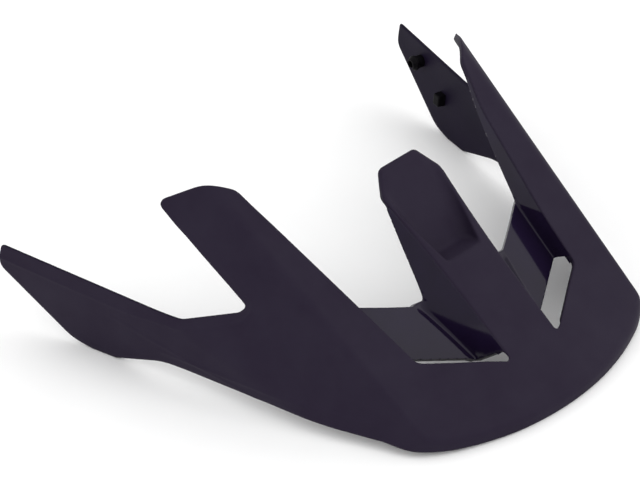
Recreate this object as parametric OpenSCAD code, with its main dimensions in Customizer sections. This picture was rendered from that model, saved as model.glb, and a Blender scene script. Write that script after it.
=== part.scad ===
// Visor of a mountain bike helmet: a thin skin with two air ducts, two side arms and snap-in pivot studs.
// +X is the wearer's left, -Y the front and +Z up. It rests on the knee of each arm and on its front edge.
// The top is drawn in a slope frame: x across, s along the slope towards the rear, n square to the slope.

/* [Overall] */
// Outside width over the arm tips
arm_span = 194.4; // [188:0.4:200]
// From the knee, where an arm rests, forward to the front edge
front_reach = 127.8; // [123:0.2:133]
// From the knee back to the end of an arm
arm_reach = 38.8; // [36:0.2:42]
// Thickness of the moulded skin
wall = 2; // [1.8:0.1:2.6]

/* [Top] */
// Fall of the top towards the front, in degrees
top_pitch = 34.6; // [33.6:0.2:35.6]
// Height of the crown line above the knee, square to the slope
crown_height = 76.3; // [75:0.1:77.6]
// Radius of the crown across the top
crown_r = 215; // [190:5:250]
// Half width of the top between its two side creases, at mid length
crease_half_w = 56.8; // [55.4:0.1:58.2]
// Tilt of the cheek below the crease, from the slope, in degrees
cheek_angle = 53.6; // [52:0.1:55]
// Spread of the cheeks towards the rear, in degrees
cheek_splay = 3.3; // [2.6:0.1:4]

/* [Front edge] */
// Radius of the front edge, seen from above
front_r = 108; // [100:1:116]
// Radius of the front corners, seen from above
corner_r = 42; // [36:1:46]

/* [Arms] */
// Spread of the arms towards the rear, in degrees
arm_splay = 13.2; // [12.4:0.1:14]
// Height of an arm's upper edge at its end
arm_tip_z = 30; // [29:0.2:31.4]
// Height of an arm's upper edge where it meets the notch
arm_root_z = 25.1; // [24.2:0.1:26]
// Height of the square end of an arm
arm_end_h = 7; // [6:0.2:8.4]
// Chamfer along an arm's upper edge: width on the outer face
arm_chamfer_h = 3; // [2:0.2:4]
// Chamfer along an arm's upper edge: depth into the skin
arm_chamfer_d = 0.6; // [0.4:0.1:1]
// Height of the lower edge at the heel behind the knee
heel_z = 2.1; // [1.4:0.1:3.2]
// Height of the lower edge where it levels out under the cheek
cheek_rise_z = 8.3; // [7.4:0.1:9]
// Inward lean of the arm below its ridge, in degrees
ridge_lean = 2.4; // [1:0.2:3.6]

/* [Fingers] */
// Half width of the centre finger at its rear edge
centre_rear_w = 8.2; // [7.2:0.1:9.4]
// Half width of the centre finger at its shoulders
centre_shoulder_w = 12.9; // [12.2:0.1:13.8]
// Half width of the centre finger where it leaves the brim
centre_root_w = 10.3; // [9.4:0.1:11.2]
// Place of the centre finger's rear edge along the slope
centre_rear_s = -7.5; // [-10:0.1:-5]
// Half gap between the side fingers where they leave the brim
finger_root_x = 39.6; // [38.6:0.1:40.6]
// Half gap between the side fingers at their tips
finger_tip_x = 53.6; // [52:0.1:54.8]
// Place of a side finger's outer tip along the slope
finger_tip_s = 24.7; // [22:0.1:27]
// Height of a side finger's outer edge, square to the slope
finger_edge_n = 54.9; // [54:0.1:55.8]

/* [Ducts] */
// Place of the brim's rear edge along the slope, at the side fingers
slot_outer_s = -67.2; // [-68.4:0.1:-66]
// Place of the brim's rear edge along the slope, at the centre finger
slot_inner_s = -83.9; // [-85:0.1:-82.6]
// Open width of the air slot along the slope
slot_w = 5.9; // [5.2:0.1:6.6]
// Depth of the duct floor below the crown
duct_depth = 8.5; // [7.8:0.1:9.4]
// Length of the duct floor along the slope
duct_floor_l = 21; // [19:0.2:23]
// Thickness of the duct liner
liner_t = 1.7; // [1.3:0.1:2.1]

/* [Pocket] */
// Place of the pocket's front end along the slope
pocket_front_s = -45.4; // [-48:0.2:-42]
// Half width of the pocket at its front end
pocket_front_w = 7.6; // [6.6:0.1:8.4]
// Depth of the pocket in the centre finger at its front end
pocket_depth = 5.6; // [4:0.2:6.6]

/* [Pivots] */
// Distance of the pivot stud behind the knee
pivot_y = 23.6; // [21.6:0.2:25.6]
// Height of the pivot stud above the knee
pivot_z = 22.6; // [21.6:0.2:23.4]
// Radius of the stud's shank
shank_r = 2.3; // [2:0.05:2.5]
// Length of the shank in front of the arm
shank_l = 2.7; // [2.2:0.1:3.6]
// Radius of the stud's foot, caught inside the arm
foot_r = 2.8; // [2.7:0.05:3]
// Radius of the snap head
head_r = 2.75; // [2.6:0.05:3]
// Length of the straight part of the snap head
head_l = 0.9; // [0.7:0.1:1.2]
// Radius of the hole down the snap head
head_hole_r = 1.4; // [1.1:0.05:1.5]
// Width of the slit down the lower side of the snap head
slit_w = 2.2; // [1.6:0.1:2.6]
// Running clearance of the stud in the arm, on radius
run_clear = 0.05; // [0.02:0.01:0.1]

/* [Index lugs] */
// Distance of an index lug behind the knee
lug_y = 9.6; // [8:0.2:12]
// Height of an index lug above the knee
lug_z = 14.4; // [12.6:0.1:16]
// Length of an index lug along the arm
lug_l = 3.6; // [2.8:0.1:4.6]
// Height of an index lug
lug_h = 4.6; // [3.6:0.1:5.6]
// How far an index lug stands out of the arm
lug_out = 3; // [2:0.1:4]
// Radius of the peg that holds an index lug
peg_r = 1.2; // [0.9:0.05:1.4]

/* [Hidden] */
$fn = 96;
// Size of the blocks that stand for half spaces
block = 300;
// Colours of the matte skin, the glossy liner and the black fittings
skin_colour = "#322b39";
liner_colour = "#39353f";
black_colour = "#0f0a14";

// Station along the slope where the crease width is measured
crease_s = -35.6;

// Outer face of an arm at the knee, and its distance from the origin square to the face
knee_half_w = arm_span / 2 - arm_reach * tan(arm_splay);
arm_face_d = knee_half_w * cos(arm_splay);
front_cy = front_r - front_reach;
corner_turn = asin((arm_face_d - corner_r + sin(arm_splay) * front_cy) / (front_r - corner_r)) - arm_splay;
corner_c = [0, front_cy] + (front_r - corner_r) * [sin(corner_turn), -cos(corner_turn)];

// Side view, in y and z: the heel, the short flat that rests, and the lower edge of the cheek
heel_y = 12.4;
knee_flat = 3.2;
cheek_rise_y = -29.6;
cheek_low = [-101, 3.8];
arm_root_y = -29.5;
arm_tip_r = 2.2;
ridge_y = -2;
ridge_z = 17.4;
ridge_rise = 12.5;
notch_floor = [-45.8, 31];
notch_s = -20.2;
notch_r = 2;

// Fingers, in x and s
shoulder_s = -16.1;
finger_inner_s = 10.4;
finger_mid = [61, 18.5];
finger_outer_x = 71.2;
tip_round = 2.6;
slot_round = 1.7;

// Foot lines of the duct walls, in x, front and rear
centre_foot_x = [13.8, 18];
side_foot_x = [39.2, 40.8];
// Fall of the duct floor across its width, centre to side, and along its length
floor_fall = 4.1;
floor_sink = 0.9;
// Rear end of the side wall along the slope, and how far a wall's top is drawn past the skin
side_top_s = 4.5;
wall_over = 1;
// Bonding flanges of the liner under the skin, and the bond between them
flange_w = 4;
flange_t = 1.2;
bond = 0.05;
// Directions in which the two duct walls are thickened, away from the duct
in_back = [-0.9, 0, -0.44];
out_back = [0.88, 0, -0.48];

// Pocket: where its floor leaves the crown, and the run and angle of the ramp at its front end
pocket_rear_s = -8.6;
pocket_rear_w = 14.9;
pocket_ramp = 6;
pocket_ramp_angle = 45;
pocket_round = 2.5;
// How far the pocket's space is drawn past the finger and the crown, and its skin kept inside the finger
pocket_past = 5;
pocket_rim = 0.2;

// Stud: lip of the arm over its foot, thickness of the foot, end clearance and length of the nose
lip_t = 0.5;
foot_t = 0.7;
end_clear = 0.05;
nose_l = 1.3;
nose_r = 2;
slit_low = 1;
peg_l = 1.2;
peg_root = 0.5;
peg_clear = 0.02;
lug_round = 0.5;

// Outer face of an arm at a distance y behind the knee
function face_x(y) = knee_half_w + y * tan(arm_splay);
// Height of the crown at a distance x from the centre plane
function crown_n(x) = crown_height - crown_r + sqrt(crown_r * crown_r - x * x);
// A point of the slope, given in s and n, as y and z of the part
function side_view(s, n) = [
    s * cos(top_pitch) - n * sin(top_pitch),
    s * sin(top_pitch) + n * cos(top_pitch)
];
// Place along the slope of the brim's rear edge and of the duct floor's edges at a distance x
function slot_s(x) = slot_inner_s
    + (x - centre_root_w) * (slot_outer_s - slot_inner_s) / (finger_root_x - centre_root_w);
// Half width of the centre finger and half gap of the side fingers at a station s
function centre_x(s) = centre_root_w
    + (s - slot_inner_s) * (centre_shoulder_w - centre_root_w) / (shoulder_s - slot_inner_s);
function side_x(s) = finger_root_x
    + (s - slot_outer_s) * (finger_tip_x - finger_root_x) / (finger_inner_s - slot_outer_s);
// Height of the duct floor at a distance x, a run behind its front edge
function floor_n(x, run) = crown_n(centre_foot_x[0]) - duct_depth - floor_sink * run / duct_floor_l
    - floor_fall * (x - centre_foot_x[0]) / (side_foot_x[1] - centre_foot_x[0]);

// Moves the knee frame so that the box of the whole part is centred on the origin
module placed() translate([0, (front_reach - arm_reach) / 2, 0]) children();
module on_slope() rotate([top_pitch, 0, 0]) children();
module on_side(side) mirror([side < 0 ? 1 : 0, 0, 0]) children();
module both_sides() for (side = [-1, 1]) on_side(side) children();

// Half space below the plane z = -inset
module below(inset = 0) translate([-block, -block, -block - inset]) cube([2 * block, 2 * block, block]);
// Half space above the plane z = -inset
module above(inset = 0) translate([-block, -block, -inset]) cube([2 * block, 2 * block, block]);
// A shape drawn in y and z, carried right across the part
module across() rotate([90, 0, 90]) linear_extrude(2 * block, center = true) children();
// A shape drawn in x and s, carried square to the slope between two heights
module square_to_slope(low, high) on_slope() translate([0, 0, low]) linear_extrude(high - low) children();
module round_out(r) offset(r = r, $fn = 40) offset(delta = -r) children();
module round_in(r) offset(r = -r, $fn = 40) offset(delta = r) children();

// The crown, as a cylinder along the slope
module crown(inset = 0)
    on_slope() translate([0, 0, crown_height - crown_r]) rotate([90, 0, 0])
        cylinder(r = crown_r - inset, h = 2 * block, center = true);

// One cheek, as the space inside its plane
module cheek(inset)
    on_slope() translate([crease_half_w, crease_s, crown_n(crease_half_w)])
        rotate([0, 0, -cheek_splay]) rotate([0, cheek_angle, 0]) below(inset);

// One arm's outer face, and the facet below its ridge that leans in
module arm_face(inset) {
    translate([knee_half_w, 0, 0]) rotate([0, 0, -arm_splay]) rotate([0, 90, 0]) below(inset);
}
module arm_facet(inset) {
    translate([face_x(ridge_y), ridge_y, ridge_z]) rotate([0, 0, -arm_splay]) rotate([ridge_rise, 0, 0])
        rotate([0, 90 + ridge_lean, 0]) below(inset);
}

// Front outline seen from above: one wide arc and a rounded corner on each side
module front_outline(inset) {
    difference() {
        union() {
            translate([0, front_cy]) circle(r = front_r - inset);
            translate([-block, front_cy]) square([2 * block, block]);
        }
        for (side = [-1, 1]) mirror([side < 0 ? 1 : 0, 0]) corner_cut(inset);
    }
}
module corner_cut(inset) {
    reach = 3 * corner_r;
    to_front = [sin(corner_turn), -cos(corner_turn)];
    to_side = [cos(arm_splay), -sin(arm_splay)];
    translate(corner_c) difference() {
        polygon([[0, 0], reach * to_front, reach * (to_front + to_side), reach * to_side]);
        circle(r = corner_r - inset);
    }
}

// The whole form, moved in by a distance
module form(inset) {
    intersection() {
        crown(inset);
        cheek(inset);
        mirror([1, 0, 0]) cheek(inset);
        arm_face(inset);
        mirror([1, 0, 0]) arm_face(inset);
        arm_facet(inset);
        mirror([1, 0, 0]) arm_facet(inset);
        translate([0, 0, -block / 2]) linear_extrude(block) front_outline(inset);
    }
}

// Side outline: arm ends, heels, knees and the lower edge
module side_outline() {
    end_y = arm_reach;
    high = block / 2;
    polygon([
        [-block / 2, high], [-block / 2, 0], [-front_reach, 0], cheek_low, [cheek_rise_y, cheek_rise_z],
        [-knee_flat, 0], [knee_flat, 0], [heel_y, heel_z],
        [end_y - arm_tip_r / 2, arm_tip_z - arm_end_h - arm_tip_r / 2], [end_y, arm_tip_z - arm_end_h],
        [end_y, arm_tip_z - arm_tip_r], [end_y - arm_tip_r, arm_tip_z], [end_y - arm_tip_r, high]
    ]);
}

// The notch between an arm and the side finger above it
module notch() {
    fall = (arm_tip_z - arm_root_z) / (arm_reach - arm_root_y);
    back = block / 2;
    corner = side_view(notch_s, finger_edge_n);
    round_out(notch_r) polygon([
        [back, arm_root_z + fall * (back - arm_root_y)], [arm_root_y, arm_root_z], notch_floor, corner,
        side_view(block, finger_edge_n)
    ]);
}

module centre_finger(grow = 0) {
    polygon([
        for (side = [-1, 1], i = [0:2])
            let (k = side < 0 ? i : 2 - i)
            [
                side * ([centre_root_w, centre_shoulder_w, centre_rear_w][k] + grow),
                [slot_inner_s - 1, shoulder_s, centre_rear_s][k]
            ]
    ]);
}

module side_finger() {
    polygon([
        [finger_root_x, -block / 2], [finger_root_x, slot_outer_s], [finger_tip_x, finger_inner_s],
        finger_mid, [finger_outer_x, finger_tip_s], [block / 2, finger_tip_s], [block / 2, -block / 2]
    ]);
}

module brim() {
    polygon([
        [-finger_root_x - 1, slot_s(finger_root_x + 1)], [-centre_root_w, slot_inner_s],
        [centre_root_w, slot_inner_s], [finger_root_x + 1, slot_s(finger_root_x + 1)],
        [finger_root_x + 1, -block / 2], [-finger_root_x - 1, -block / 2]
    ]);
}

// What is cut from the top: the ducts and everything behind the fingers
module top_cut() {
    difference() {
        square(block - 1, center = true);
        round_in(slot_round) round_out(tip_round) union() {
            brim();
            centre_finger();
            side_finger();
            mirror([1, 0]) side_finger();
        }
    }
}

// Space of the pocket in the centre finger, or of its skin when grown
module pocket(grow) {
    past = grow > 0 ? -pocket_rim : pocket_past;
    end_s = pocket_rear_s + (grow > 0 ? -pocket_past / 2 : pocket_past);
    depth_angle = atan(pocket_depth / (pocket_rear_s - pocket_front_s - pocket_ramp));
    intersection() {
        square_to_slope(crown_height / 2, crown_height + past) intersection() {
            round_out(pocket_round) polygon([
                for (side = [-1, 1], i = [0:1])
                    let (k = side < 0 ? i : 1 - i)
                    [side * ([pocket_front_w, pocket_rear_w][k] + grow), [pocket_front_s - grow, end_s][k]]
            ]);
            centre_finger(past);
        }
        on_slope() translate([0, pocket_rear_s, crown_height])
            rotate([depth_angle, 0, 0]) above(grow);
        on_slope() translate([0, pocket_front_s, crown_height])
            rotate([-pocket_ramp_angle, 0, 0]) above(grow);
    }
}

// The chamfer along the upper edge of an arm
module arm_chamfer() {
    fall = atan((arm_tip_z - arm_root_z) / (arm_reach - arm_root_y));
    far = 3 * arm_chamfer_h;
    translate([face_x(arm_root_y), arm_root_y, arm_root_z]) rotate([0, 0, -arm_splay])
        rotate([fall, 0, 0]) rotate([90, 0, 0]) translate([0, 0, -2 * arm_reach])
            linear_extrude(2 * arm_reach) polygon([
                [0.01, -arm_chamfer_h], [far, -arm_chamfer_h], [far, far],
                [-arm_chamfer_d, far], [-arm_chamfer_d, 0]
            ]);
}

// A place on the inner face of an arm: local z points in to the centre, local y along the arm
module on_inner_face(y, z)
    translate([face_x(y) - wall / cos(arm_splay), y, z]) rotate([0, 0, -arm_splay]) rotate([0, -90, 0])
        children();

// A place on the inner side of the facet below the ridge, which leans in
module on_inner_facet(y, z) {
    drop = (ridge_z - z) * cos(ridge_rise) + (y - ridge_y) / cos(arm_splay) * sin(ridge_rise);
    on_inner_face(y, z) translate([0, 0, wall / cos(ridge_lean) - wall + drop * tan(ridge_lean)])
        rotate([0, 0, -ridge_rise]) rotate([0, ridge_lean, 0]) rotate([0, 0, ridge_rise])
            children();
}

// The bore that takes a stud's shank and, below its lip, the stud's foot
module pivot_bore()
    on_inner_face(pivot_y, pivot_z) {
        translate([0, 0, -lip_t - end_clear]) cylinder(r = shank_r + run_clear, h = lip_t + 2);
        translate([0, 0, -lip_t - foot_t - 2 * end_clear])
            cylinder(r = foot_r + run_clear, h = foot_t + 2 * end_clear);
    }
module peg_hole()
    on_inner_facet(lug_y, lug_z) translate([0, 0, -peg_l - end_clear])
        cylinder(r = peg_r + peg_clear, h = peg_l + 2);

module visor_shell() {
    color(skin_colour) placed() difference() {
        union() {
            intersection() {
                difference() {
                    form(0);
                    form(wall);
                }
                across() side_outline();
            }
            intersection() {
                pocket(wall);
                crown(wall / 2);
            }
        }
        across() notch();
        square_to_slope(finger_edge_n - 8, block / 2) top_cut();
        pocket(0);
        both_sides() arm_chamfer();
        both_sides() pivot_bore();
        both_sides() peg_hole();
    }
}

// A flat slab between four corners of its seen face, thickened along a direction
module slab(corners, back) {
    polyhedron(
        points = concat(corners, [for (c = corners) c + back]),
        faces = [
            [0, 1, 2], [0, 2, 3], [6, 5, 4], [7, 6, 4],
            for (i = [0:3]) each [[(i + 1) % 4, i, i + 4], [(i + 1) % 4, i + 4, (i + 1) % 4 + 4]]
        ]
    );
}

// The strip of a liner that is bonded under the skin, between two lines in x and s
module bond_flange(front, rear, width) {
    intersection() {
        square_to_slope(crown_height / 2, crown_height)
            polygon([front, rear, rear + [width, 0], front + [width, 0]]);
        difference() {
            crown(wall + bond);
            crown(wall + bond + flange_t);
        }
    }
}

// One duct liner: a floor between the wall of the centre finger and the wall of the side finger
module duct_liner(side) {
    function on_floor(x, run) = [x, slot_s(x) + slot_w + run, floor_n(x, run)];
    function under_skin(x, s) = [x, s, crown_n(x) - wall + wall_over];
    lap = [liner_t / 2, 0, 0];
    drop = [0, 0, -liner_t];
    in_front = on_floor(centre_foot_x[0], 0);
    in_rear = on_floor(centre_foot_x[1], duct_floor_l);
    out_front = on_floor(side_foot_x[0], 0);
    out_rear = on_floor(side_foot_x[1], duct_floor_l);
    in_s = slot_inner_s + wall_over;
    out_s = slot_outer_s + wall_over;
    in_top = under_skin(centre_x(in_s), in_s);
    out_top = under_skin(side_x(out_s), out_s);
    in_end = under_skin(centre_x(shoulder_s), shoulder_s);
    out_end = under_skin(side_x(side_top_s), side_top_s);
    flange_s = pocket_front_s - 2 * wall;
    color(liner_colour) placed() on_side(side) difference() {
        intersection() {
            union() {
                on_slope() slab([in_front - lap, in_rear - lap, out_rear + lap, out_front + lap], drop);
                on_slope() slab([in_top, in_end, in_rear + drop, in_front + drop], liner_t * in_back);
                on_slope() slab([out_top, out_front + drop, out_rear + drop, out_end], liner_t * out_back);
                bond_flange([centre_x(in_s), in_s], [centre_x(flange_s), flange_s], -flange_w);
                bond_flange([side_x(out_s), out_s], [side_x(side_top_s), side_top_s], flange_w);
            }
            crown(wall + bond);
        }
        pocket(wall + bond);
    }
}

// One pivot stud: a foot caught in the arm, a shank and a hollow snap head with a slit in its lower side
module pivot_stud(side) {
    foot_z = -lip_t - end_clear;
    head_z = shank_l + head_l;
    tip_z = head_z + nose_l;
    color(black_colour) placed() on_side(side) on_inner_face(pivot_y, pivot_z) difference() {
        rotate_extrude() polygon([
            [0, foot_z - foot_t], [foot_r, foot_z - foot_t], [foot_r, foot_z], [shank_r, foot_z],
            [shank_r, shank_l], [head_r, shank_l], [head_r, head_z], [nose_r, tip_z], [0, tip_z]
        ]);
        translate([0, 0, slit_low]) cylinder(r = head_hole_r, h = tip_z);
        translate([-2 * head_r, -slit_w / 2, slit_low]) cube([2 * head_r, slit_w, tip_z]);
    }
}

// One index lug: a square block on the arm's inner face, held by a peg
module index_lug(side) {
    color(black_colour) placed() on_side(side) on_inner_facet(lug_y, lug_z) {
        linear_extrude(lug_out) round_out(lug_round) square([lug_h, lug_l], center = true);
        translate([0, 0, -peg_l]) cylinder(r = peg_r, h = peg_l + peg_root);
    }
}

visor_shell();
duct_liner(1);  // duct_liner_left
duct_liner(-1);  // duct_liner_right
pivot_stud(1);  // pivot_stud_left
pivot_stud(-1);  // pivot_stud_right
index_lug(1);  // index_lug_left
index_lug(-1);  // index_lug_right
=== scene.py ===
import bpy
import math
import numpy as np
from mathutils import Matrix, Vector


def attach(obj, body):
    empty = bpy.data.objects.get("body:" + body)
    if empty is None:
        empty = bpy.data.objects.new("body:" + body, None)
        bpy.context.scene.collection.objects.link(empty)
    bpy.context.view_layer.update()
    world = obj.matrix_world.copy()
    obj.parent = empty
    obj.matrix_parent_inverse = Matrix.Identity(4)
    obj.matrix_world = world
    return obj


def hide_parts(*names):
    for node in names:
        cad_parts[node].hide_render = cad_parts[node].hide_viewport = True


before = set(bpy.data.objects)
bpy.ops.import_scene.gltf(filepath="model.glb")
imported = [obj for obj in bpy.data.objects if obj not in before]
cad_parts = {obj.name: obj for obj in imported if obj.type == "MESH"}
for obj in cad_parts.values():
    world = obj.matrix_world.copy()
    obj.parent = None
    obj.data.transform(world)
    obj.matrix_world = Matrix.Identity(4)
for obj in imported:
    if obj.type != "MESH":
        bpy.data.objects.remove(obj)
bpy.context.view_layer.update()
print("frame loaded:", len(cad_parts), "nodes")

# the visor's leading sizes in mm, in the knee frame: the arm's knee is at y = 0, z = 0
visor = {
    "kneeShift": 44.5,      # knee frame to part frame, along y
    "armSpan": 194.4, "frontReach": 127.8, "armReach": 38.8, "wall": 2.0,
    "pitch": 34.6, "crownHeight": 76.3, "crownR": 215.0,
    "creaseHalf": 56.8, "creaseS": -35.6, "creaseSpread": 0.09, "cheekAngle": 53.6, "cheekSplay": 3.3,
    "frontR": 108.0, "cornerR": 42.0, "armSplay": 13.2,
    "ridgeY": -2.0, "ridgeZ": 18.6, "ridgeRise": 12.5, "ridgeLean": 5.0,
    "spread": 1.005,      # the drawn pieces are this much wider than the solids
    "paintShare": 0.55,      # the paint reaches this share of the wall round the edges
    "box": ((0, -130, -1), (99, 41, 68)), "step": 0.5, "quickStep": 0.8,
}


def cosSin(angle):
    return math.cos(math.radians(angle)), math.sin(math.radians(angle))


pitchC, pitchS = cosSin(visor["pitch"])
splayC, splayS = cosSin(visor["armSplay"])
leanC, leanS = cosSin(visor["ridgeLean"])
riseC, riseS = cosSin(visor["ridgeRise"])
kneeHalf = visor["armSpan"] / 2 - visor["armReach"] * splayS / splayC
frontCy = visor["frontR"] - visor["frontReach"]
cornerSpan = visor["frontR"] - visor["cornerR"]
cornerReach = kneeHalf * splayC - visor["cornerR"] + splayS * frontCy
cornerTurn = math.asin(cornerReach / cornerSpan) - math.radians(visor["armSplay"])
toFront = np.array([math.sin(cornerTurn), -math.cos(cornerTurn)])
toSide = np.array([splayC, -splayS])
cornerC = np.array([0, frontCy]) + cornerSpan * toFront


def softMax(a, b, k):      # larger of two distances, blended over k mm
    h = np.maximum(k - np.abs(a - b), 0)
    return np.maximum(a, b) + h * h / (4 * k)


def softMin(a, b, k):
    return -softMax(-a, -b, k)


def roundMax(a, b, r):      # larger of two distances with a round edge of radius r
    return np.minimum(np.maximum(a, b), -r) + np.hypot(np.maximum(a + r, 0), np.maximum(b + r, 0))


def blend(first, last, share):
    return first + (last - first) * share


def ramp(v, start, end):      # 0 at start, 1 at end, eased
    t = np.clip((v - start) / (end - start), 0, 1)
    return t * t * (3 - 2 * t)


def plateau(v, start, full, hold, end):      # eased up from start to full, and down again from hold to end
    return ramp(v, start, full) * (1 - ramp(v, hold, end))


def roundOutline(corners, arcPoints=9, edgeShare=0.48):      # corners are (u, v, radius): each one becomes an arc
    points = []
    count = len(corners)
    for i, (u, v, r) in enumerate(corners):
        here = np.array([u, v], float)
        back = np.array(corners[i - 1][:2], float) - here
        ahead = np.array(corners[(i + 1) % count][:2], float) - here
        if r <= 0:
            points.append(here)
            continue
        backL, aheadL = np.linalg.norm(back), np.linalg.norm(ahead)
        back, ahead = back / backL, ahead / aheadL
        half = math.acos(np.clip(back @ ahead, -1, 1)) / 2
        reach = min(r / math.tan(half), edgeShare * backL, edgeShare * aheadL)
        r = reach * math.tan(half)
        middle = here + (back + ahead) / np.linalg.norm(back + ahead) * r / math.sin(half)
        start, end = here + back * reach - middle, here + ahead * reach - middle
        turn = math.atan2(start[0] * end[1] - start[1] * end[0], start @ end)
        for t in np.linspace(0, turn, arcPoints):
            c, s = math.cos(t), math.sin(t)
            points.append(middle + [start[0] * c - start[1] * s, start[0] * s + start[1] * c])
    return np.array(points)


def outlineDistance(u, v, outline, tiny=1e-12):      # signed distance to a closed outline, negative inside
    best = np.full(u.shape, 1e9)
    inside = np.zeros(u.shape, bool)
    for (au, av), (bu, bv) in zip(outline, np.roll(outline, -1, 0)):
        du, dv = bu - au, bv - av
        pu, pv = u - au, v - av
        t = np.clip((pu * du + pv * dv) / (du * du + dv * dv + tiny), 0, 1)
        best = np.minimum(best, (pu - t * du) ** 2 + (pv - t * dv) ** 2)
        crosses = (av > v) != (bv > v)
        inside ^= crosses & (u < au + (v - av) * du / (dv if abs(dv) > tiny else tiny))
    return np.sqrt(best) * np.where(inside, -1, 1)


def onSlope(points):      # x across, s up the slope, n square to it
    x, y, z = np.abs(points[:, 0]), points[:, 1], points[:, 2]
    return x, y * pitchC + z * pitchS, z * pitchC - y * pitchS


def sideView(s, n):
    return s * pitchC - n * pitchS, s * pitchS + n * pitchC


def crownN(x):
    return visor["crownHeight"] - visor["crownR"] + np.sqrt(visor["crownR"] ** 2 - x * x)


def faceX(y):      # outer face of the arm
    return kneeHalf + y * splayS / splayC


# the outer form of the skin, as one smooth distance
form = {
    "creaseFront": 0.7, "creaseRear": 2.6, "creaseS": (-95, 0),      # blend over the crease, crisp in front
    "lip": 1.8, "fold": 1.5, "lipY": (-105, -70), "ridge": 0.3,      # blend into the skirt, at the brim and the arms
    "kick": 1.2, "kickS": (-42, -6), "kickX": (6, 15),      # rise of the centre finger's end over the crown
    "sag": 2.75, "sagS": (-105, -42, -10, 18), "sagX": (12, 30),      # hollow along the side fingers' inner edges
    "sagBlend": 0.4, "sagIn": 0.73,      # the edge moves in by this much for each mm of the hollow
    "sideEdge": (39.6, -67.2, 0.1804),      # those edges, seen square to the crown: x, s, and x for each mm of s
}


def edgeSag(s):
    return form["sag"] * plateau(s, *form["sagS"])


def sideHalf(s):      # x of the side finger's inner edge
    x, start, spread = form["sideEdge"]
    return x + spread * (s - start) - form["sagIn"] * edgeSag(s)


def crownDistance(x, s, n):
    kick = form["kick"] * ramp(s, *form["kickS"]) * (1 - ramp(x, *form["kickX"]))
    crease = visor["creaseHalf"] + visor["creaseSpread"] * (s - visor["creaseS"])
    share = softMin((crease - x) / (crease - sideHalf(s)), 1, form["sagBlend"])      # 0 on the crease, full at the edge
    full = 1 - form["sagBlend"] / 4
    sag = edgeSag(s) * np.maximum(share, 0) / full * ramp(x, *form["sagX"])
    return np.hypot(x, n - visor["crownHeight"] + visor["crownR"]) - visor["crownR"] - kick + sag


def cheekDistance(x, s, n):
    angleC, angleS = cosSin(visor["cheekAngle"])
    sweepC, sweepS = cosSin(visor["cheekSplay"])
    out, along, up = x - visor["creaseHalf"], s - visor["creaseS"], n - crownN(visor["creaseHalf"])
    return out * angleS * sweepC - along * angleS * sweepS + up * angleC


def skirtDistance(x, y):      # upright wall: front arc, corner, arm
    qx, qy = x - cornerC[0], y - cornerC[1]
    skirt = np.hypot(qx, qy) - visor["cornerR"]
    ahead = toFront[0] * qy - toFront[1] * qx < 0
    beside = qx * toSide[1] - qy * toSide[0] < 0
    skirt = np.where(beside, qx * toSide[0] + qy * toSide[1] - visor["cornerR"], skirt)
    return np.where(ahead & ~beside, np.hypot(x, y - frontCy) - visor["frontR"], skirt)


def facetDistance(x, y, z):      # the arm's lower face, which leans in under the ridge
    gx = leanC * splayC + leanS * riseS * splayS
    gy = -leanC * splayS + leanS * riseS * splayC
    gz = -leanS * riseC
    return (x - faceX(visor["ridgeY"])) * gx + (y - visor["ridgeY"]) * gy + (z - visor["ridgeZ"]) * gz


def formDistance(points):
    x, s, n = onSlope(points)
    y, z = points[:, 1], points[:, 2]
    soft = blend(form["creaseFront"], form["creaseRear"], ramp(s, *form["creaseS"]))
    lip = blend(form["lip"], form["fold"], ramp(y, *form["lipY"]))
    top = softMax(crownDistance(x, s, n), cheekDistance(x, s, n), soft)
    return softMax(top, softMax(skirtDistance(x, y), facetDistance(x, y, z), form["ridge"]), lip)


# the scoop in the centre finger
pocket = {
    "frontS": -45.4, "rearS": -8.6, "frontHalf": 7.6, "rearHalf": 15.8,
    "floorFall": 12.4, "rampAngle": 45.0, "sideBlend": 4.5, "rampBlend": 1.2, "edge": 0.6,
    "square": 0.98,      # distance square to its flared sides, for each mm of x
}


def pocketDistance(x, s, n):      # negative in its air
    top = visor["crownHeight"]
    floorC, floorS = cosSin(pocket["floorFall"])
    floor = (top + form["kick"] - n) * floorC + (s - pocket["rearS"]) * floorS
    rampC, rampS = cosSin(pocket["rampAngle"])
    front = (top - n) * rampC - (s - pocket["frontS"]) * rampS
    share = (s - pocket["frontS"]) / (pocket["rearS"] - pocket["frontS"])
    half = blend(pocket["frontHalf"], pocket["rearHalf"], share)
    return softMax(softMax(floor, (x - half) * pocket["square"], pocket["sideBlend"]), front, pocket["rampBlend"])


def skinDistance(points):      # outer face of the skin with the pocket in it
    x, s, n = onSlope(points)
    return softMax(formDistance(points), -pocketDistance(x, s, n), pocket["edge"])


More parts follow.
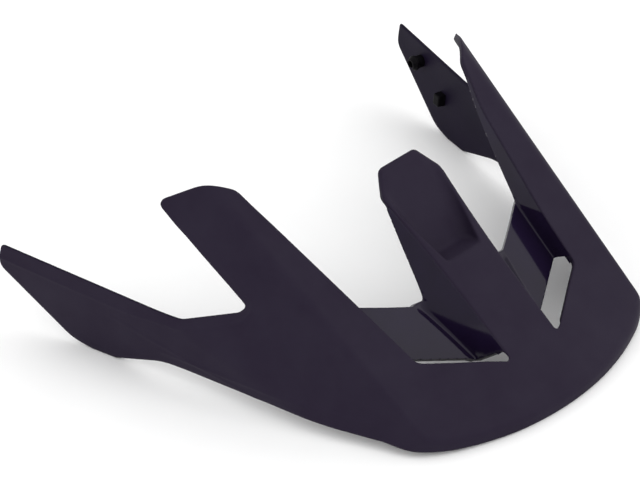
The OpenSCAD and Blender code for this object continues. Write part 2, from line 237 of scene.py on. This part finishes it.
# outlines of the fingers and slots, in x and s
fingers = {
    "centreRoot": (10.3, -84.0), "centreShoulder": (13.5, -16.1), "centreRear": (8.2, -7.5),
    "sideRoot": (38.3, -66.9), "sideInner": (53.6, 11.7), "sideMid": (61.0, 18.9), "sideTip": (71.2, 24.7),
    "waist": (10.95, -65), "flare": 0.00115,      # the centre finger's half width grows rearward from its waist
    "edgeN": 54.5, "upperN": 50, "topN": 46.9,      # side finger's outer edge, what counts as finger, end of the cuts
    "slotRound": 1.6, "rootRound": 2.2, "shoulderRound": 0.9, "rearRound": 0.9,
    "tipRound": 1.0, "tipBend": 0.6, "outerRound": 2.4,
    "square": 0.87,      # distance square to the slots, for each mm of s
    "thinner": 1.2, "thinX": 10, "thinFade": (4, 7), "thinS": (-92, -86, -81, -76),      # skin at the slot's inner end
    "undercut": 0.35, "underN": 0.8, "underS": (-30, -20),      # the edge leans in under the centre finger's shoulder
    "slantS": (-82, -77, -28, -17),      # the centre finger's cut edge leans between these, and is upright at its ends
    "depthX": 80, "depthN": (-1, 7),      # bounds of the depth at which the cut edges still lean
    "centreLean": (0.36, 0.68), "centreLeanS": (-76.0, 23.4),      # lean of the walls, front and rear: start and length
    "sideLean": (0.0, 0.17), "sideLeanS": (-61.5, 21.9),
    "bareCentre": (-15, -11), "bareSide": (4, 10),      # s where the liner ends and the skin's own cut edge begins
    "midX": 30, "endX": 60,      # x between the two walls, and past both
}


def slotS(x):      # front edge of the slots
    a, b = fingers["centreRoot"], fingers["sideRoot"]
    return a[1] + (x - a[0]) * (b[1] - a[1]) / (b[0] - a[0])


def wallLean(s, wall):
    start, length = fingers[wall + "LeanS"]
    return blend(*fingers[wall + "Lean"], np.clip((s - start) / length, 0, 1))


def centreWall(x, s, depth):      # positive inside the centre finger
    lean = wallLean(s, "centre")
    half = fingers["waist"][0] + fingers["flare"] * np.maximum(s - fingers["waist"][1], 0) ** 2
    return (half + lean * np.maximum(depth, 0) - x) / np.sqrt(1 + lean * lean)


def sideWall(x, s, depth):      # positive inside the side finger
    lean = wallLean(s, "side")
    return (x - sideHalf(s) + lean * (depth - edgeSag(s))) / np.sqrt(1 + lean * lean)


def across(x, s, a, b):      # distance to the line through two (x, s) points, positive on its left
    dx, ds = b[0] - a[0], b[1] - a[1]
    return ((s - a[1]) * dx - (x - a[0]) * ds) / math.hypot(dx, ds)


def topOutline(points):      # brim and fingers, negative where the skin is kept
    x, s, n = onSlope(points)
    depth = np.clip(crownN(np.minimum(x, fingers["depthX"])) - n, *fingers["depthN"])
    shoulder = across(x, s, fingers["centreShoulder"], fingers["centreRear"])
    under = fingers["undercut"] * np.maximum(depth - fingers["underN"], 0) * ramp(s, *fingers["underS"])
    wall = centreWall(x, s, depth * plateau(s, *fingers["slantS"]))
    centre = softMax(under - wall, -shoulder, fingers["shoulderRound"])
    centre = roundMax(centre, s - fingers["centreRear"][1], fingers["rearRound"])
    inner = across(x, s, fingers["sideInner"], fingers["sideMid"])
    outer = across(x, s, fingers["sideMid"], fingers["sideTip"])
    tip = softMax(softMax(inner, outer, fingers["tipBend"]), s - fingers["sideTip"][1], fingers["tipBend"])
    side = softMax(-sideWall(x, s, depth), tip, fingers["tipRound"])
    brim = (s - slotS(x)) * fingers["square"]
    keep = softMin(-roundMax(-centre, -brim, fingers["rootRound"]), side, fingers["slotRound"])
    return np.minimum(keep, n - fingers["topN"])


# side view of the arms, in y and z, each corner with its radius
far = 160      # well past the part
arm = {
    "lower": [
        (-far, far, 0), (-far, 0, 0), (-127.8, 0, 0), (-101, 3.6, 20), (-60, 5.8, 80), (-22.5, 6.7, 22),
        (-3.2, 0, 8), (3.2, 0, 8), (12.4, 1.7, 14), (38.6, 22.1, 5), (38.4, 26.6, 3), (37.7, 31.5, 0), (36.2, far, 0),
    ],
    "upperFront": (-29.5, 25.5, 7), "upperRear": (38.8, 30.4),      # straight run of the arm's upper edge
    "notchRoot": (-45.8, 31, 2.6), "fingerRoot": (-20.2, 1.6),      # the second is s and radius
    "bandW": 4.6, "bandNeck": 2.0, "bandD": 0.8,      # bevel band along the upper edge, narrower in the notch
    "neckAhead": (8, 30), "bandFade": (-22, 12),      # mm ahead of the knee, and s on the finger
    "hemW": 4.4, "hemD": 0.6, "hemAhead": (16, 34, 100, 112),      # bevel over the lower edge
    "bead": 0.13, "beadW": 0.6, "lineAhead": (-6, 22, 62, 84),      # soft raised line by the bands and on the ridge
    "tipRound": 1.0, "rim": 0.8, "ductRim": 0.3, "crispS": (8, 16),      # round of the edges, finer at the finger's tip
    "proud": 0.3,      # the edges stand this far past the outlines
    "nearby": 1.3,      # the outlines are worked out this close to the skin
    "same": 0.01,      # and count as one when they are this close to each other
}


def armNotch():      # the gap between the arm and the side finger
    frontY, frontZ, frontR = arm["upperFront"]
    rearY, rearZ = arm["upperRear"]
    endZ = frontZ + (rearZ - frontZ) / (rearY - frontY) * (far - frontY)
    rootS, rootR = arm["fingerRoot"]
    root, end = sideView(rootS, fingers["edgeN"]), sideView(far, fingers["edgeN"])
    return [(far, endZ, 0), (frontY, frontZ, frontR), arm["notchRoot"], (*root, rootR), (*end, 0)]


lowerOutline, notchOutline = roundOutline(arm["lower"]), roundOutline(armNotch())


def bead(offset):
    return arm["bead"] * np.exp(-(offset / arm["beadW"]) ** 2)


def armTrim(s, n, y, z, notch, lower):      # how far the bevels lie below the smooth skin
    fade = np.where(n > fingers["upperN"], 1 - ramp(s, *arm["bandFade"]), 1)
    bandW = arm["bandW"] - arm["bandNeck"] * ramp(-y, *arm["neckAhead"])
    band = arm["bandD"] * np.clip(1 - notch / bandW, 0, 1) - bead(notch - bandW)
    hem = arm["hemD"] * np.clip(1 + lower / arm["hemW"], 0, 1) - bead(lower + arm["hemW"])
    ridge = (z - visor["ridgeZ"]) * riseC - (y - visor["ridgeY"]) / splayC * riseS
    return band * fade + hem * plateau(-y, *arm["hemAhead"]) - bead(ridge) * plateau(-y, *arm["lineAhead"])


def skinField(points):
    skin = skinDistance(points)
    x, s, n = onSlope(points)
    thin = plateau(s, *fingers["thinS"]) * (1 - ramp(np.abs(x - fingers["thinX"]), *fingers["thinFade"]))
    wall = visor["wall"] - fingers["thinner"] * thin
    result = np.maximum(skin, -skin - wall)
    near = result < arm["nearby"]
    p, x, s, n, skin, wall = points[near], x[near], s[near], n[near], skin[near], wall[near]
    y, z = p[:, 1], p[:, 2]
    notch = outlineDistance(y, z, notchOutline)
    lower = outlineDistance(y, z, lowerOutline)
    top = topOutline(p)
    slab = np.maximum(skin + armTrim(s, n, y, z, notch, lower), -skin - wall)
    sides = roundMax(roundMax(top, -notch, fingers["outerRound"]), lower, arm["tipRound"])
    bare = np.where(x > fingers["midX"], ramp(s, *fingers["bareSide"]), ramp(s, *fingers["bareCentre"]))
    inDuct = (top > sides - arm["same"]) * (1 - bare) * (x < fingers["endX"])
    crisp = np.maximum(inDuct, ramp(s, *arm["crispS"]) * (n > fingers["upperN"]))
    outline = np.maximum(sides - arm["proud"] * (1 - inDuct), -z)
    result[near] = roundMax(slab, outline, blend(arm["rim"], arm["ductRim"], crisp))
    return result


def skinZone(points):      # 0 painted outside, 1 moulded inside, whose darker colour is partly painted shade
    return np.where(skinDistance(points) < -visor["wall"] * visor["paintShare"], 1, 0)


# the glossy liner between the fingers: two walls and a floor behind each slot
duct = {
    "slotW": 5.6, "depth": 8.5, "floorL": 21.7, "floorFall": 5.1, "floorSink": 0.9, "thick": 1.7, "fillet": 0.8,
    "centreFoot": 13.8, "sideFoot": 40.8,      # x of the walls' feet
    "gutterW": 2.8, "gutterD": 1.4, "gutterMax": 1.2, "gutterEnd": (-2.5, 1.5),      # along the centre wall's foot
    "flangeW": 4.0, "flangeT": 1.2, "flangeIn": 0.4, "bond": 0.05,      # strip under the skin, and the glue's gap
    "flangeCentreS": (-79.0, -49.4), "flangeSideS": (-65.9, -16.0),
    "cover": 0.45, "proud": 0.06,      # the wall ends this deep under the paint, and this far before the cut edge
    "frontTop": (4.6, 1.5), "rearTop": (-15.7, 16.0), "rearBend": (1.0, 1.1),      # ends of the walls, centre and side
    "tailS": 10.0, "spanX": (14, 26), "leastShare": 0.05, "rearSquare": 1.4, "endRound": 0.12,
    "sag": 0.3, "sagX": (29, 11),      # the floor's rear edge is hollow: middle and half width
    "nip": 3.0, "nipW": 3.5, "nipPower": 10, "heel": 2.0,      # the centre wall's rear edge is drawn in above its heel
    "box": ((5, -120, 10), (62, -25, 66)), "step": 0.5, "quickStep": 0.8,
}


def ductFloor(x, s, centre):      # n of the floor, which falls to the side
    run = s - slotS(x) - duct["slotW"]
    foot = duct["centreFoot"]
    fall = duct["floorFall"] * (x - foot) / (duct["sideFoot"] - foot)
    floorN = crownN(foot) - duct["depth"] - duct["floorSink"] * run / duct["floorL"] - fall
    gutter = duct["gutterD"] * (1 - ramp(run - duct["floorL"], *duct["gutterEnd"]))
    return floorN - gutter * np.clip(1 + centre / duct["gutterW"], 0, duct["gutterMax"])


def linerEnds(x, s, centre, share, height):      # positive past the liner's front and rear edges
    start, length = duct["spanX"]
    sideShare = np.clip((x - start) / length, 0, 1)      # 0 at the centre wall, 1 at the side wall
    frontTop, rearTop, rearBend = (blend(*duct[key], sideShare) for key in ("frontTop", "rearTop", "rearBend"))
    frontS = slotS(x) + blend(frontTop, duct["slotW"], share)
    middleX, halfW = duct["sagX"]
    hollow = duct["sag"] * np.clip(1 - ((x - middleX) / halfW) ** 2, 0, 1)
    reach = rearTop - (slotS(x) + duct["slotW"] + duct["floorL"] - hollow)
    atCentre = 1 - ramp(-centre, 0, duct["nipW"])
    power = duct["nipPower"]
    nip = duct["nip"] * share ** 2 * (1 - share ** power) * atCentre
    rearS = rearTop - reach * share ** rearBend + duct["heel"] * share ** 3 * atCentre - nip
    bendTilt = reach * rearBend * np.maximum(share, duct["leastShare"]) ** (rearBend - 1)
    nipTilt = duct["nip"] * (2 * share - (power + 2) * share ** (power + 1)) * atCentre
    tilt = (bendTilt + nipTilt) / height * (share < 1)      # slant of the rear edge, for a true distance to it
    front, rear = (frontS - s) * fingers["square"], (s - rearS) / np.sqrt(duct["rearSquare"] + tilt * tilt)
    return np.maximum(np.maximum(front, rear), s - duct["tailS"])


def linerFlange(s, skin, centre, side):      # the strips that bond the liner under the skin
    under = skin + visor["wall"] + duct["bond"]
    strips = []
    for wall, (front, rear) in ((centre, duct["flangeCentreS"]), (side, duct["flangeSideS"])):
        band = np.maximum(duct["flangeIn"] - wall, wall - duct["flangeW"])
        strips.append(np.maximum(band, np.maximum(front - s, s - rear)))
    return np.maximum(np.maximum(under, -under - duct["flangeT"]), np.minimum(*strips))


def linerField(points):      # the wall's face covers the cut edge of the skin, up to just under the paint
    x, s, n = onSlope(points)
    depth = crownN(x) - n
    centre, side = centreWall(x, s, depth), sideWall(x, s, depth)
    floorN = ductFloor(x, s, centre)
    air = softMax(softMax(centre, floorN - n, duct["fillet"]), side, duct["fillet"])
    slab = np.maximum(-air - duct["proud"], air - duct["thick"])
    height = crownN(x) - floorN
    share = np.clip(depth / height, 0, 1)      # 0 at the finger's edge, 1 on the floor
    ends = linerEnds(x, s, centre, share, height)
    skin = skinDistance(points)
    liner = np.maximum(roundMax(slab, ends, duct["endRound"]), skin + duct["cover"])
    return np.minimum(liner, linerFlange(s, skin, centre, side))


# how a field is meshed: lengths are in grid steps, apart from the probe in mm
meshing = {
    "block": 8, "batch": 400, "away": 9.0,      # cells in a block, blocks at a time, and the value far from the surface
    "halfDiagonal": 0.87, "steepest": 1.5,      # half a block's diagonal, and the steepest slope of a field
    "probe": 0.01, "tiny": 1e-9, "searches": 3,
    "calm": 0.06, "edgeReach": 0.8, "flat": 0.93,      # how far points go to an edge, and what counts as flat
    "evenings": 2, "evenShare": 0.5, "backReach": 0.5, "leastSlope": 0.2,
    "sharpAngle": 50,
}


def slopeOf(field, points, found):
    return np.stack([field(points + meshing["probe"] * axis) - found for axis in np.eye(3)], 1) / meshing["probe"]


def gather(index, rows, count):      # sums the rows that share an index
    return np.stack([np.bincount(index, row, count) for row in rows.T], 1)


def lengthOf(rows):
    return np.maximum(np.linalg.norm(rows, axis=1), meshing["tiny"])[:, None]


def noLonger(rows, most):
    return rows * np.minimum(1, most / lengthOf(rows))


def gridPlaces(counts):
    return np.stack(np.meshgrid(*[np.arange(count) for count in counts], indexing="ij"), -1).reshape(-1, 3)


def gridValues(field, low, cells, step):      # the field at the grid's corners, worked out only near the surface
    block, batch, away = meshing["block"], meshing["batch"], meshing["away"]
    places = gridPlaces(cells // block)
    found = field(low + (places + 0.5) * block * step)
    values = np.where(found < 0, -away, away).reshape(cells // block).astype(np.float32)
    for axis in range(3):
        values = np.repeat(values, block, axis)
    values = np.pad(values, ((0, 1),) * 3, mode="edge")
    near = places[np.abs(found) < meshing["halfDiagonal"] * block * step * meshing["steepest"]]
    offsets = gridPlaces([block + 1] * 3)
    for i in range(0, len(near), batch):
        spot = (near[i:i + batch, None] * block + offsets).reshape(-1, 3)
        values[tuple(spot.T)] = field(low + spot * step)
    return values


def edgeCrossings(field, values, edges, along, low, step):      # where the surface crosses grid edges, and its normals
    start, end = np.zeros(len(edges)), np.ones(len(edges))
    atStart, atEnd = (values[tuple(corner.T)].astype(float) for corner in (edges, edges + along))
    for search in range(meshing["searches"]):
        t = start + (end - start) * atStart / (atStart - atEnd)
        points = low + (edges + t[:, None] * along) * step
        found = field(points)
        same = (found < 0) == (atStart < 0)
        start, atStart = np.where(same, t, start), np.where(same, found, atStart)
        end, atEnd = np.where(same, end, t), np.where(same, atEnd, found)
        atEnd = np.where(atEnd == atStart, atStart + meshing["tiny"], atEnd)
    normal = slopeOf(field, points, found)
    return points, normal / lengthOf(normal)


def cellPoints(sums, step):      # one point for each cell, on the form's own edge where it has one
    hits = np.maximum(sums[:, 12], 1)
    tensor = sums[:, (0, 1, 2, 1, 3, 4, 2, 4, 5)].reshape(-1, 3, 3)
    centre = sums[:, 9:12] / hits[:, None]
    pull = sums[:, 6:9] - np.einsum("nij,nj->ni", tensor, centre)
    toEdge = np.linalg.solve(tensor + meshing["calm"] * np.eye(3), pull[:, :, None])[:, :, 0]
    flat = np.linalg.eigvalsh(tensor)[:, 2] > meshing["flat"] * hits
    return centre + noLonger(toEdge, meshing["edgeReach"] * step), flat


def evenOut(field, verts, quads, flat, middle, step):      # evens the flat parts, then goes back to the surface
    shares = 2 * np.bincount(quads.ravel(), minlength=len(verts))
    mayMove = (flat & (shares > 0))[:, None]
    for again in range(meshing["evenings"] + 1):
        if again < meshing["evenings"]:
            near = 0
            for i in range(4):
                near = near + gather(quads[:, i], verts[quads[:, i - 1]] + verts[quads[:, (i + 1) % 4]], len(verts))
            mean = near / np.maximum(shares, 1)[:, None]
            verts = np.where(mayMove, blend(verts, mean, meshing["evenShare"]), verts)
        verts[middle, 0] = 0
        found = field(verts)
        slope = slopeOf(field, verts, found)
        move = -found[:, None] * slope / np.maximum((slope * slope).sum(1), meshing["leastSlope"])[:, None]
        verts = verts + noLonger(move, meshing["backReach"] * step)
        verts[middle, 0] = 0
    return verts


def addPiece(name, verts, quads, zones):
    used = np.unique(quads)
    fresh = np.full(len(verts), -1)
    fresh[used] = np.arange(len(used))
    verts, quads = verts[used], fresh[quads]
    mesh = bpy.data.meshes.new(name)
    mesh.from_pydata((verts * [visor["spread"], 1, 1] + [0, visor["kneeShift"], 0]) / 1000, [], quads)
    if zones is not None:
        mesh.polygons.foreach_set("material_index", zones.astype(np.int32))
    mesh.polygons.foreach_set("use_smooth", np.ones(len(quads), bool))
    mesh.update()
    mesh.set_sharp_from_angle(angle=math.radians(meshing["sharpAngle"]))
    piece = bpy.data.objects.new(name, mesh)
    bpy.context.scene.collection.objects.link(piece)
    print("meshed", name, len(verts), "points")
    return piece


def fieldMesh(name, field, box, step, zone=None, mirror=False):      # meshes the zero surface of a field, in mm
    low, high = np.array(box, float)
    if mirror:
        low[0] = -step / 2
    block = meshing["block"]
    cells = (np.ceil((high - low) / step / block) * block).astype(int)
    values = gridValues(field, low, cells, step)
    inside = values < 0
    count = 0
    for i, j, k in np.ndindex(2, 2, 2):      # corners of each cell that lie inside
        count = count + inside[i:i + cells[0], j:j + cells[1], k:k + cells[2]].astype(np.int8)
    mixed = (count > 0) & (count < 8)
    spots = np.argwhere(mixed)
    number = np.full(mixed.shape, -1, np.int64)
    number[mixed] = np.arange(len(spots))
    sums = np.zeros((len(spots), 13))      # for each cell: products of normals, normals by reach, points, hits
    quads = []
    for axis in range(3):
        u, v = (axis + 1) % 3, (axis + 2) % 3
        first, second = [slice(None)] * 3, [slice(None)] * 3
        first[axis], second[axis] = slice(0, -1), slice(1, None)
        edges = np.argwhere(inside[tuple(first)] != inside[tuple(second)])
        edges = edges[(edges[:, u] > 0) & (edges[:, v] > 0) & (edges[:, u] < cells[u]) & (edges[:, v] < cells[v])]
        points, normal = edgeCrossings(field, values, edges, np.eye(3, dtype=int)[axis], low, step)
        products = normal[:, (0, 0, 0, 1, 1, 2)] * normal[:, (0, 1, 2, 1, 2, 2)]
        reach = (normal * points).sum(1)[:, None]
        rows = np.concatenate([products, normal * reach, points, np.ones_like(reach)], 1)
        ring = []
        for du, dv in ((1, 1), (0, 1), (0, 0), (1, 0)):      # the four cells round each edge
            cell = edges.copy()
            cell[:, u] -= du
            cell[:, v] -= dv
            ring.append(number[tuple(cell.T)])
            sums += gather(ring[-1], rows, len(spots))
        ring = np.stack(ring, 1)
        flip = ~inside[tuple(edges.T)]
        ring[flip] = ring[flip][:, ::-1]
        quads.append(ring)
    quads = np.concatenate(quads)
    middle = spots[:, 0] == 0 if mirror else np.zeros(len(spots), bool)
    verts, flat = cellPoints(sums, step)
    verts = evenOut(field, verts, quads, flat, middle, step)
    if mirror:
        other = np.where(middle, np.arange(len(verts)), np.arange(len(verts)) + len(verts))
        quads = np.concatenate([quads, other[quads][:, ::-1]])
        verts = np.concatenate([verts, verts * [-1, 1, 1]])
    return addPiece(name, verts, quads, None if zone is None else zone(verts[quads].mean(1)))


# the snap stud and the index lug, drawn on the inner face of the arm
stud = {
    "y": 23.6, "z": 22.6, "bore": 1.4, "boreLow": 1.0, "slit": 2.2, "round": 0.18,
    "profile": [
        (-2, -1.25, 0), (2.8, -1.25, 0.15), (2.8, -0.55, 0.15), (2.3, -0.55, 0), (2.3, 2.7, 0.15), (2.75, 2.7, 0.2),
        (2.75, 3.6, 0.5), (2.0, 4.9, 0.3), (-2, 4.9, 0),
    ],
    "box": ((84, 18, 19), (97, 29, 28)), "step": 0.14,
}
lug = {
    "y": 9.6, "z": 14.4, "along": 3.6, "up": 4.6, "out": 3.0, "round": 0.45, "draft": 0.05,
    "box": ((82, 5, 10), (92, 15, 19)), "step": 0.2,
}
studOutline = roundOutline(stud["profile"])


def onInnerFace(points, y, z):      # up, along the arm and inwards, from a place on the inner face
    q = points - [faceX(y) - visor["wall"] / splayC, y, z]
    return q[:, 2], q[:, 0] * splayS + q[:, 1] * splayC, -q[:, 0] * splayC + q[:, 1] * splayS


def studField(points):
    up, along, out = onInnerFace(points, stud["y"], stud["z"])
    body = outlineDistance(np.hypot(up, along), out, studOutline)
    bore = np.maximum(np.hypot(up, along) - stud["bore"], stud["boreLow"] - out)
    slit = np.maximum(np.maximum(np.abs(along) - stud["slit"] / 2, up), stud["boreLow"] - out)
    return roundMax(body, -np.minimum(bore, slit), stud["round"])


def lugField(points):      # stands square on the leaning lower face
    up, along, out = onInnerFace(points, lug["y"], lug["z"])
    drop = (visor["ridgeZ"] - lug["z"]) * riseC + (lug["y"] - visor["ridgeY"]) / splayC * riseS
    out = out - drop * leanS / leanC
    offRidge, onRidge = up * riseC - along * riseS, up * riseS + along * riseC
    out, offRidge = out * leanC + offRidge * leanS, offRidge * leanC - out * leanS
    up, along = offRidge * riseC + onRidge * riseS, onRidge * riseC - offRidge * riseS
    taper = lug["draft"] * out
    sides = roundMax(np.abs(up) - lug["up"] / 2 + taper, np.abs(along) - lug["along"] / 2 + taper, lug["round"])
    return np.maximum(roundMax(sides, out - lug["out"], lug["round"]), -out)


def addNode(tree, kind, values=None, links=None, **settings):
    node = tree.nodes.new(kind)
    for key, value in settings.items():
        setattr(node, key, value)
    for key, value in (values or {}).items():
        node.inputs[key].default_value = value
    for key, source in (links or {}).items():
        tree.links.new(source, node.inputs[key])
    return node


def toLinear(text):      # sRGB hex to linear
    parts = [int(text[i:i + 2], 16) / 255 for i in (1, 3, 5)]
    return [v / 12.92 if v <= 0.04045 else ((v + 0.055) / 1.055) ** 2.4 for v in parts] + [1.0]


def mm(size):      # noise scale for a feature of that many mm, in object coordinates
    return 1000 / size


# what all the plastics share: how broken the noise is, and how much of the cloud is plain dark or plain light
mottle = {"cloudDetail": 3.0, "cloudRough": 0.6, "grainDetail": 2.0, "grainRough": 0.55, "tint": (0.3, 0.7)}


def plastic(name, look):      # mottled colour, uneven gloss and a fine grain, all in the piece's own coordinates
    material = bpy.data.materials.new(name)
    material.use_nodes = True
    tree = material.node_tree
    tree.nodes.clear()
    place = addNode(tree, "ShaderNodeTexCoord").outputs["Object"]
    cloud, fine = (
        addNode(
            tree, "ShaderNodeTexNoise",
            {"Scale": mm(look[kind]), "Detail": mottle[kind + "Detail"], "Roughness": mottle[kind + "Rough"]},
            {"Vector": place},
        ).outputs["Fac"] for kind in ("cloud", "grain")
    )
    tint = addNode(tree, "ShaderNodeValToRGB", links={"Fac": cloud})
    for stop, position, colour in zip(tint.color_ramp.elements, mottle["tint"], (look["dark"], look["light"])):
        stop.position, stop.color = position, toLinear(colour)
    low, high = look["rough"]
    gloss = addNode(tree, "ShaderNodeMapRange", {"To Min": low, "To Max": high}, {"Value": fine})
    bump = addNode(
        tree, "ShaderNodeBump", {"Strength": look["bump"], "Distance": look["height"] / 1000}, {"Height": fine},
    )
    shader = addNode(
        tree, "ShaderNodeBsdfPrincipled", {"IOR": look["ior"], "Specular IOR Level": look["specular"]},
        {"Base Color": tint.outputs["Color"], "Roughness": gloss.outputs["Result"], "Normal": bump.outputs["Normal"]},
    )
    addNode(tree, "ShaderNodeOutputMaterial", links={"Surface": shader.outputs["BSDF"]})
    return material


# sizes of cloud, grain and height are mm; real grit is about 0.1 mm, and the grain is drawn coarser so that it shows
# matte paint sprayed on moulded ABS: a soft, even sheen with no mirror image, dark plum
mattePaint = plastic("matte_plum_paint_on_abs", {
    "dark": "#221b2b", "light": "#26202f", "cloud": 14, "grain": 0.9, "rough": (0.5, 0.6), "bump": 0.25,
    "height": 0.02, "ior": 1.5, "specular": 0.08,
})
# the unpainted inner side: bare moulded ABS with a finer grain; its colour, a little darker, is partly painted shade
# for the inside of the shell
mouldedAbsWithPaintedShade = plastic("satin_moulded_abs_painted_shade", {
    "dark": "#120c1e", "light": "#160f22", "cloud": 14, "grain": 0.8, "rough": (0.5, 0.6), "bump": 0.2,
    "height": 0.02, "ior": 1.5, "specular": 0.085,
})
# polished ABS in the ducts: near black, and it mirrors the light and the opposite wall
polishedAbs = plastic("polished_black_abs", {
    "dark": "#160e22", "light": "#1a1229", "cloud": 18, "grain": 1.6, "rough": (0.07, 0.11), "bump": 0.05,
    "height": 0.01, "ior": 1.5, "specular": 0.22,
})
# moulded, glass-filled nylon of the stud and the lug: black, with a dull grain
blackNylon = plastic("black_moulded_nylon", {
    "dark": "#060508", "light": "#0b090d", "cloud": 3, "grain": 0.5, "rough": (0.45, 0.55), "bump": 0.3,
    "height": 0.02, "ior": 1.53, "specular": 0.06,
})
print("materials ready")


def stepOf(piece):
    return piece["step"]


shell = fieldMesh("visorSkin", skinField, visor["box"], stepOf(visor), skinZone, True)
for material in (mattePaint, mouldedAbsWithPaintedShade):
    shell.data.materials.append(material)
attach(shell, "visor")
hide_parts("visor_shell")


def mirrored(piece, name):
    other = piece.copy()
    other.data = piece.data.copy()
    other.name = other.data.name = name
    other.data.transform(Matrix.Diagonal((-1, 1, 1, 1)))
    other.data.flip_normals()
    bpy.context.scene.collection.objects.link(other)
    return other


linerLeft = fieldMesh("ductLinerLeft", linerField, duct["box"], stepOf(duct))
studLeft = fieldMesh("pivotStudLeft", studField, stud["box"], stud["step"])
lugLeft = fieldMesh("indexLugLeft", lugField, lug["box"], lug["step"])
for piece, kind, body, node, slot, material in (
    (linerLeft, "ductLiner", "visor", "duct_liner_", "gloss_liner", polishedAbs),
    (studLeft, "pivotStud", "stud_", "pivot_stud_", "black_fitting", blackNylon),
    (lugLeft, "indexLug", "visor", "index_lug_", "black_fitting", blackNylon),
):
    piece.data.materials.append(material)
    for each, side in ((piece, "left"), (mirrored(piece, kind + "Right"), "right")):
        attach(each, body + side if body.endswith("_") else body)
        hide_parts(node + side)
print("pieces placed")

# camera at the photograph's angle, with its long lens
view = {
    "azimuth": -45.8376, "elevation": 35.3907, "place": (-0.69695, -0.64711, 0.69943),
    "lens": 196.875, "sensor": 36, "clip": (0.05, 20),
}
azimuthC, azimuthS = cosSin(view["azimuth"])
elevationC, elevationS = cosSin(view["elevation"])
back = Vector((azimuthS * elevationC, -azimuthC * elevationC, elevationS))
right = Vector((azimuthC, azimuthS, 0))
camera = bpy.data.objects.new("camera", bpy.data.cameras.new("camera"))
camera.data.lens, camera.data.sensor_width = view["lens"], view["sensor"]
camera.data.clip_start, camera.data.clip_end = view["clip"]
camera.matrix_world = Matrix((right, back.cross(right), back)).transposed().to_4x4()
camera.location = view["place"]
bpy.context.scene.collection.objects.link(camera)
bpy.context.scene.camera = camera

# pale floor and soft light
studio = {
    "floor": 3, "sky": 1.05, "toLight": (0.55, -0.55, 0.63),
    "facing": (-0.5, 1.0), "shade": (0.78, 1.15),      # the sky is darker away from the light
    "lampSize": (1.6, 1.2), "lamps": (("softbox", 4.0, (0.8, -0.9, 1.1)), ("sideLight", 6.0, (-1.1, 0.9, 0.35))),
}
floorMesh = bpy.data.meshes.new("floor")
floorCorners = [(u * studio["floor"], v * studio["floor"], 0) for u, v in ((-1, -1), (1, -1), (1, 1), (-1, 1))]
floorMesh.from_pydata(floorCorners, [], [(0, 1, 2, 3)])
floor = bpy.data.objects.new("floor", floorMesh)
bpy.context.scene.collection.objects.link(floor)
# white paper: even, without gloss
floor.data.materials.append(plastic("white_paper_sweep", {
    "dark": "#f9f9f9", "light": "#fcfcfc", "cloud": 60, "grain": 2, "rough": (0.85, 0.95), "bump": 0.02,
    "height": 0.02, "ior": 1.45, "specular": 0.1,
}))

world = bpy.data.worlds.new("studio")
bpy.context.scene.world = world
world.use_nodes = True
sky = world.node_tree
sky.nodes.clear()
direction = addNode(sky, "ShaderNodeTexCoord").outputs["Generated"]
facing = addNode(sky, "ShaderNodeVectorMath", {1: studio["toLight"]}, {0: direction}, operation="DOT_PRODUCT")
shadeRange = dict(zip(("From Min", "From Max", "To Min", "To Max"), studio["facing"] + studio["shade"]))
shade = addNode(sky, "ShaderNodeMapRange", shadeRange, {"Value": facing.outputs["Value"]})
glow = addNode(sky, "ShaderNodeBackground", {"Strength": studio["sky"]}, {"Color": shade.outputs["Result"]})
addNode(sky, "ShaderNodeOutputWorld", links={"Surface": glow.outputs["Background"]})

for name, power, place in studio["lamps"]:
    lamp = bpy.data.objects.new(name, bpy.data.lights.new(name, "AREA"))
    lamp.data.shape, lamp.data.energy = "RECTANGLE", power
    lamp.data.size, lamp.data.size_y = studio["lampSize"]
    lamp.location = place
    lamp.rotation_euler = (-lamp.location).to_track_quat("-Z", "Y").to_euler()
    bpy.context.scene.collection.objects.link(lamp)
bpy.context.scene.view_settings.view_transform = "Standard"
print("studio ready")
